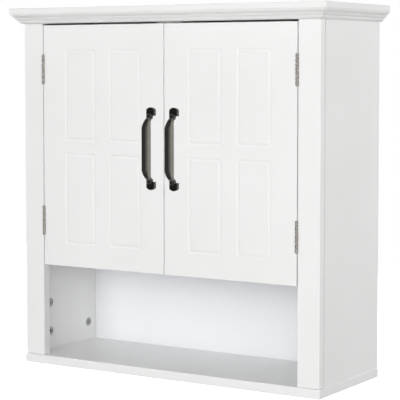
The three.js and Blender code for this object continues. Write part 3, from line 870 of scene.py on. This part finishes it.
def handles():
    source = handle_mesh()
    for side in SIDES:
        name = f"handle_{side}"
        low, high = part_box(name)
        bm = bmesh.new()
        centre = (low + high) / 2
        placed(bm, source, Matrix.Translation((centre.x, high.y, centre.z)))
        bow_piece = shown(
            f"{name}_bow", new_mesh(bm, name), dark_nickel, f"door_{side}", [name]
        )
        bow_piece.visible_shadow = False
        bow_piece.visible_diffuse = False
    source.free()


# ------------------------------------------------------------------ screws

def arm_tool(half_long, half_wide, heights, turn, taper=1.0):
    """A bar that lies across the Z axis, turned about it, and narrowed at its low end by the taper."""
    def build(bm):
        spin = Matrix.Rotation(math.radians(turn), 2)
        signs = ((-1, -1), (1, -1), (1, 1), (-1, 1))
        corners = [spin @ Vector((u * half_long, v * half_wide)) for u, v in signs]
        layers = [([tuple(p * scale) for p in corners], w) for scale, w in zip((taper, 1), heights)]
        first, last = stack(bm, "z", layers)
        cap(bm, first)
        cap(bm, last)
    return build


def screw_head(radius, rise, shank_radius, shank):
    """A screw that faces +Z: a rounded head with a crossed recess on a short shank."""
    turns = [math.radians(a) for a in range(10, 80, 10)]
    dome = [(radius * math.cos(a), rise * math.sin(a)) for a in turns]
    profile = [(shank_radius, -shank), (shank_radius, 0), (radius, 0), *dome]
    depth = min(rise, DRIVE_DEPTH)
    heights = (rise - DRIVE_SINK * depth, rise + depth)
    arm = [share * radius for share in DRIVE_ARM]
    return combined([
        lambda bm: lathe(bm, "z", (0, 0, 0), profile, SMALL_TURNED_SIDES),
        arm_tool(*arm, heights, 0, DRIVE_TAPER),
        arm_tool(*arm, heights, 90, DRIVE_TAPER),
    ], "DIFFERENCE")


FACING = {
    "+x": Matrix.Rotation(math.radians(90), 4, "Y"),
    "-x": Matrix.Rotation(math.radians(-90), 4, "Y"),
    "+y": Matrix.Rotation(math.radians(-90), 4, "X"),
}


def handle_screws():
    """Pan-head machine screws inside the doors, with their shanks in the handles' feet."""
    for side in SIDES:
        for level in LEVELS:
            name = f"handle_screw_{side}_{level}"
            low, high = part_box(name)
            seat = high.y - HANDLE_SCREW_RISE
            radius = (high.x - low.x) / 2
            source = screw_head(radius, HANDLE_SCREW_RISE, HANDLE_SCREW_SHANK, seat - low.y)
            bm = bmesh.new()
            centre = (low + high) / 2
            placed(bm, source, Matrix.Translation((centre.x, seat, centre.z)) @ FACING["+y"])
            source.free()
            shown(f"{name}_pan_head", new_mesh(bm, name), zinc, f"door_{side}", [name])


# ------------------------------------------------------------------ hinges

def comb(bm, first_knuckle, xs, end, height):
    """A leaf's plate, which lies between two X, with a finger to each of its knuckles."""
    step = height / KNUCKLES
    start = KNUCKLE_RADIUS + BARREL_RELIEF
    lift = -height / 2
    outline = [(end, lift), (end, -lift), (start, -lift)]
    for k in reversed(range(first_knuckle, KNUCKLES, 2)):
        a = lift + k * step + KNUCKLE_GAP
        b = a + step - 2 * KNUCKLE_GAP
        outline += [(start, b), (FINGER_ROOT, b), (FINGER_ROOT, a), (start, a)]
    outline.append((start, lift))
    first, last = stack(bm, "x", [(outline, min(xs)), (outline, max(xs))])
    cap(bm, first)
    cap(bm, last)


def hinge_leaf(xs, first_knuckle, end, height):
    """A pressed leaf around the pin's axis at the origin: plate, fingers and barrels."""
    step = height / KNUCKLES
    parts = [lambda bm: comb(bm, first_knuckle, xs, end, height)]
    for k in range(first_knuckle, KNUCKLES, 2):
        low = -height / 2 + k * step + KNUCKLE_GAP
        high = low + step - 2 * KNUCKLE_GAP
        neck = KNUCKLE_RADIUS - KNUCKLE_CHAMFER
        profile = [
            (neck, low), (KNUCKLE_RADIUS, low + KNUCKLE_CHAMFER),
            (KNUCKLE_RADIUS, high - KNUCKLE_CHAMFER), (neck, high),
        ]
        parts.append(
            lambda bm, profile=profile: lathe(bm, "z", (0, 0, 0), profile, BARREL_SIDES)
        )
    return combined(parts)


def hinge_pin(name):
    """The pin: a domed tip at both ends of the barrel and a thinner core between the knuckles."""
    low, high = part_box(name)
    half = (high.z - low.z) / 2
    turns = [math.radians(a) for a in range(0, 90, 15)]
    dome = [(PIN_TIP * math.cos(a), half - PIN_TIP_RISE * (1 - math.sin(a))) for a in turns]
    shoulder = half - PIN_TIP_RISE - PIN_TIP_COLLAR
    upper = [(PIN_CORE, shoulder), (PIN_TIP, shoulder), *dome]
    profile = [(r, -h) for r, h in reversed(upper)] + upper
    bm = bmesh.new()
    lathe(bm, "z", tuple((low + high) / 2), profile, SMALL_TURNED_SIDES)
    shown(f"{name}_tips", new_mesh(bm, name), satin_nickel, "cabinet", [name])


def hinges():
    """Four butt hinges. A frame leaf carries knuckles 0, 2, 4 and 6, and a door leaf the others."""
    screw = screw_head(*LEAF_SCREW)
    screw_beds = {"cabinet": bmesh.new(), "door_left": bmesh.new(), "door_right": bmesh.new()}
    for side, sign in SIDES.items():
        for level in LEVELS:
            tail = f"{side}_{level}"
            pin = middle(f"hinge_pin_{tail}")
            hinge_pin(f"hinge_pin_{tail}")
            for kind, first, toward, body in (
                ("frame", 0, sign, "cabinet"), ("door", 1, -sign, f"door_{side}"),
            ):
                name = f"hinge_{kind}_leaf_{tail}"
                low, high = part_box(name)
                frame_low, frame_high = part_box(f"hinge_frame_leaf_{tail}")
                near = sign * BARREL_INSET + toward * LEAF_NEAR
                far = sign * BARREL_INSET + toward * LEAF_FAR
                source = hinge_leaf((near, far), first, high.y - pin.y, frame_high.z - frame_low.z)
                bm = bmesh.new()
                placed(bm, source, Matrix.Translation(pin))
                source.free()
                shown(f"{name}_pressing", new_mesh(bm, name), satin_nickel, body, [name])
                plate_middle = (high.y + pin.y + KNUCKLE_RADIUS) / 2
                for row in (-1, 0, 1):
                    stagger = LEAF_SCREW_STAGGER if row else -LEAF_SCREW_STAGGER
                    at = Vector((
                        pin.x + near, plate_middle + stagger, pin.z + row * LEAF_SCREW_SPACING,
                    ))
                    turn = FACING["-x" if toward > 0 else "+x"]
                    degrees = LEAF_SCREW_TURN + LEAF_SCREW_TURN_STEP * row
                    spin = Matrix.Rotation(math.radians(degrees), 4, "Z")
                    placed(screw_beds[body], screw, Matrix.Translation(at) @ turn @ spin)
    for body, bm in screw_beds.items():
        shown(f"hinge_screws_{body}", new_mesh(bm, "hinge_screws"), zinc, body)
    screw.free()


# ------------------------------------------------------------------ small fittings

def cam_source(radius, depth):
    """A cast cam housing that faces +Z: a raised rim, a dished face and a crossed drive."""
    boss_foot, boss_top = [share * radius for share in CAM_BOSS]
    profile = [
        (radius - CAM_EASE, -depth), (radius, -depth + CAM_EASE), (radius, -CAM_LIP),
        (radius - CAM_LIP, 0), (radius - CAM_RIM, 0), (radius - CAM_RIM - CAM_EASE, -CAM_DISH),
        (boss_foot, -CAM_DISH), (boss_top, -CAM_BOSS_DROP), (THIN, -CAM_BOSS_DROP),
    ]
    heights = (-CAM_SLOT_DEPTH, 1 * MM)
    reach = CAM_SLOT_REACH * radius
    return combined([
        lambda bm: lathe(bm, "z", (0, 0, 0), profile, LARGE_TURNED_SIDES),
        arm_tool(reach, CAM_SLOT_HALF, heights, 0),
        arm_tool(reach, CAM_SLOT_HALF, heights, 90),
    ], "DIFFERENCE")


def cams():
    names = sorted(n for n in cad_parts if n.startswith("cam_"))
    low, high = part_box(names[0])
    source = cam_source((high.z - low.z) / 2, high.x - low.x)
    for index, name in enumerate(names):
        low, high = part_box(name)
        centre = (low + high) / 2
        on_left = centre.x < 0
        face = high.x if on_left else low.x
        spin = Matrix.Rotation(math.radians(CAM_TURN + CAM_TURN_STEP * index), 4, "Z")
        bm = bmesh.new()
        turn = FACING["+x" if on_left else "-x"]
        placed(bm, source, Matrix.Translation((face, centre.y, centre.z)) @ turn @ spin)
        shown(f"{name}_casting", new_mesh(bm, name), zinc, "cabinet", [name])
    source.free()


def shelf_pins():
    """Stepped steel pins: a shank, a collar against the panel and the end under the shelf."""
    for name in sorted(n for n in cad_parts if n.startswith("shelf_pin_")):
        low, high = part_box(name)
        centre = (low + high) / 2
        outward = 1 if centre.x > 0 else -1
        inner = low.x if outward > 0 else high.x
        points = [(r * MM, outward * h * MM) for r, h in SHELF_PIN_PROFILE]
        bm = bmesh.new()
        lathe(bm, "x", (inner, centre.y, centre.z), points, SMALL_TURNED_SIDES)
        shown(f"{name}_turned", new_mesh(bm, name), zinc, "cabinet", [name])


def hanger_plates():
    """Steel plates with a keyhole and a countersunk screw at each end."""
    screw = screw_head(*HANGER_SCREW)
    round_facets, slot_facets = KEYHOLE_FACETS
    screws = bmesh.new()
    for side in SIDES:
        name = f"hanger_plate_{side}"
        low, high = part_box(name)
        cx, cz = (low.x + high.x) / 2, (low.z + high.z) / 2
        entry_z, slot_top = cz - KEYHOLE_ENTRY_DOWN, cz + KEYHOLE_SLOT_UP
        keyhole = []
        start = math.degrees(math.asin(KEYHOLE_SLOT / KEYHOLE_ENTRY)) + 90
        for step in range(round_facets + 1):
            a = math.radians(start + (360 - 2 * (start - 90)) * step / round_facets)
            keyhole.append((cx + KEYHOLE_ENTRY * math.cos(a), entry_z + KEYHOLE_ENTRY * math.sin(a)))
        for step in range(slot_facets + 1):
            a = math.radians(180 * step / slot_facets)
            keyhole.append((cx + KEYHOLE_SLOT * math.cos(a), slot_top + KEYHOLE_SLOT * math.sin(a)))
        bm = bmesh.new()
        rims = passage(bm, "y", keyhole, low.y, high.y)
        outline = rounded_rectangle((low.x, low.z), (high.x, high.z), HANGER_CORNER)
        plate(bm, "y", outline, low.y, high.y, PRESSED_EDGE, [rims[0]], [rims[1]])
        shown(f"{name}_pressing", new_mesh(bm, name), zinc, "cabinet", [name])
        for end in (-1, 1):
            at = (cx + end * HANGER_SCREW_OFFSET, high.y - HANGER_SCREW_SUNK, cz)
            placed(screws, screw, Matrix.Translation(at) @ FACING["+y"])
    shown("hanger_screws", new_mesh(screws, "hanger_screws"), zinc, "cabinet")
    screw.free()


def catch():
    """A white double catch with two magnets that meet the strike plates."""
    low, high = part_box("catch_housing")
    bm = bmesh.new()
    rims = []
    for side in SIDES:
        magnet = f"catch_magnet_{side}"
        outline = widened(magnet, MAGNET_CLEARANCE, MAGNET_CORNER)
        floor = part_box(magnet)[1].y + MAGNET_CLEARANCE
        rims.append(pocket(bm, "y", outline, low.y, floor, PRESSED_EDGE))
    outline = rounded_rectangle((low.x, low.z), (high.x, high.z), CATCH_CORNER)
    plate(bm, "y", outline, low.y, high.y, CATCH_EASE, rims)
    mesh = new_mesh(bm, "catch_housing")
    housing = ["catch_housing"]
    shown("catch_housing_moulding", mesh, white_plastic, "cabinet", housing)
    for side in SIDES:
        name = f"catch_magnet_{side}"
        bm = bmesh.new()
        board(bm, "y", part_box(name), edge=MAGNET_EASE)
        shown(f"{name}_block", new_mesh(bm, name), magnet_block, "cabinet", [name])


def strike_plates():
    """Thin steel plates on the doors' inner faces, each held by one screw."""
    screw = screw_head(*STRIKE_SCREW)
    for side in SIDES:
        name = f"strike_plate_{side}"
        low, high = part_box(name)
        bm = bmesh.new()
        outline = rounded_rectangle((low.x, low.z), (high.x, high.z), STRIKE_CORNER, 6)
        plate(bm, "y", outline, low.y, high.y, PRESSED_EDGE)
        shown(f"{name}_pressing", new_mesh(bm, name), zinc, f"door_{side}", [name])
        screws = bmesh.new()
        at = ((low.x + high.x) / 2, high.y - STRIKE_SCREW_SUNK, low.z + STRIKE_SCREW_UP)
        placed(screws, screw, Matrix.Translation(at) @ FACING["+y"])
        shown(f"strike_screw_{side}", new_mesh(screws, "strike_screw"), zinc, f"door_{side}")
    screw.free()


# ------------------------------------------------------------------ the object

for board_side in SIDES:
    side_panel(board_side)
    stile(board_side)
    door(board_side)
shown_board("bottom_panel", "z", edge=BOTTOM_EDGE)
shown_board("catch_rail", "z")
shown_board("fixed_shelf", "z")
shown_board("adjustable_shelf", "z")
shown_board("hanging_rail_lower", "y")
upper_rail()
back_panel()
top_panel()
crown()
handles()
handle_screws()
hinges()
cams()
shelf_pins()
hanger_plates()
catch()
strike_plates()


# ------------------------------------------------------------------ studio

FLOOR_DROP = 1.2
FLOOR_HALF = 9.0
FLOOR_GLOW = 1.4
ROOM = 0.25
LAMP_DISTANCE = 3.2
GLOSS_FROM = (0.62, -0.79, 0.0)
GLOSS_SPREAD = (0.55, 1.0)  # cosines to that direction, from the darkest to the brightest
GLOSS_RANGE = (0.11, 0.5)
CAMERA_PLACE = (1.35135, -2.22999, -0.04335)
CAMERA_YAW = 32.314
CAMERA_PITCH = -3.4
CAMERA_LENS = 137.58
CAMERA_SHIFT = -0.1123


def studio_floor():
    bm = bmesh.new()
    height = cad_low.z - FLOOR_DROP
    corners = ((-1, -1), (1, -1), (1, 1), (-1, 1))
    bm.faces.new([bm.verts.new((u * FLOOR_HALF, v * FLOOR_HALF, height)) for u, v in corners])
    mesh = bpy.data.meshes.new("studio_floor")
    bm.to_mesh(mesh)
    bm.free()
    mesh.materials.append(floor_finish())
    floor = bpy.data.objects.new("studio_floor", mesh)
    floor.visible_diffuse = False
    floor.visible_glossy = False
    bpy.context.scene.collection.objects.link(floor)


def soft_light(name, azimuth, elevation, size, power, distance=LAMP_DISTANCE):
    """A square lamp that looks at the cabinet. Azimuth 0 is in front of it and 90 to its right."""
    target = (cad_low + cad_high) / 2
    a, e = math.radians(azimuth), math.radians(elevation)
    toward = Vector((math.sin(a) * math.cos(e), -math.cos(a) * math.cos(e), math.sin(e)))
    data = bpy.data.lights.new(name, "AREA")
    data.shape = "SQUARE"
    data.size = size
    data.energy = power
    lamp = bpy.data.objects.new(name, data)
    lamp.visible_glossy = False
    lamp.location = target + toward * distance
    lamp.rotation_mode = "QUATERNION"
    lamp.rotation_quaternion = toward.to_track_quat("Z", "Y")
    bpy.context.scene.collection.objects.link(lamp)


def studio_world():
    """A white backdrop for the camera, an even room for the paint, and a dark one for gloss."""
    world = bpy.data.worlds.new("studio")
    world.use_nodes = True
    bpy.context.scene.world = world
    tree = world.node_tree
    output = tree.nodes["World Output"]
    ray = tree.nodes.new("ShaderNodeLightPath")
    direction = tree.nodes.new("ShaderNodeTexCoord").outputs["Generated"]
    toward_bright = tree.nodes.new("ShaderNodeVectorMath")
    toward_bright.operation = "DOT_PRODUCT"
    tree.links.new(direction, toward_bright.inputs[0])
    toward_bright.inputs[1].default_value = GLOSS_FROM
    sweep = node(
        tree, "ShaderNodeMapRange", Value=toward_bright.outputs["Value"],
        From_Min=GLOSS_SPREAD[0], From_Max=GLOSS_SPREAD[1],
        To_Min=GLOSS_RANGE[0], To_Max=GLOSS_RANGE[1],
    )
    backdrop = node(tree, "ShaderNodeBackground", Color=(1, 1, 1, 1), Strength=1.0)
    room = node(tree, "ShaderNodeBackground", Color=(1, 1, 1, 1), Strength=ROOM)
    gloss = node(tree, "ShaderNodeBackground", Color=(1, 1, 1, 1), Strength=sweep.outputs["Result"])
    lit = tree.nodes.new("ShaderNodeMixShader")
    tree.links.new(ray.outputs["Is Glossy Ray"], lit.inputs[0])
    tree.links.new(room.outputs[0], lit.inputs[1])
    tree.links.new(gloss.outputs[0], lit.inputs[2])
    final = tree.nodes.new("ShaderNodeMixShader")
    tree.links.new(ray.outputs["Is Camera Ray"], final.inputs[0])
    tree.links.new(lit.outputs[0], final.inputs[1])
    tree.links.new(backdrop.outputs[0], final.inputs[2])
    tree.links.new(final.outputs[0], output.inputs["Surface"])


def studio_camera():
    data = bpy.data.cameras.new("camera")
    data.sensor_width = 36
    data.lens = CAMERA_LENS
    data.shift_y = CAMERA_SHIFT
    camera = bpy.data.objects.new("camera", data)
    camera.location = CAMERA_PLACE
    camera.rotation_euler = (math.radians(90 + CAMERA_PITCH), 0, math.radians(CAMERA_YAW))
    bpy.context.scene.collection.objects.link(camera)
    bpy.context.scene.camera = camera


studio_floor()
studio_world()
studio_camera()
soft_light("front", azimuth=0, elevation=4, size=1.6, power=41)
soft_light("front_near", azimuth=22, elevation=10, size=1.6, power=21)
soft_light("front_right", azimuth=45, elevation=5, size=2.0, power=21)
soft_light("front_left", azimuth=-45, elevation=30, size=2.0, power=10)
soft_light("right", azimuth=106, elevation=9, size=1.0, power=10.3, distance=1.6)
soft_light("rear", azimuth=225, elevation=15, size=2.0, power=55)
soft_light("top", azimuth=180, elevation=62, size=1.8, power=20)
bpy.context.scene.view_settings.view_transform = "Standard"
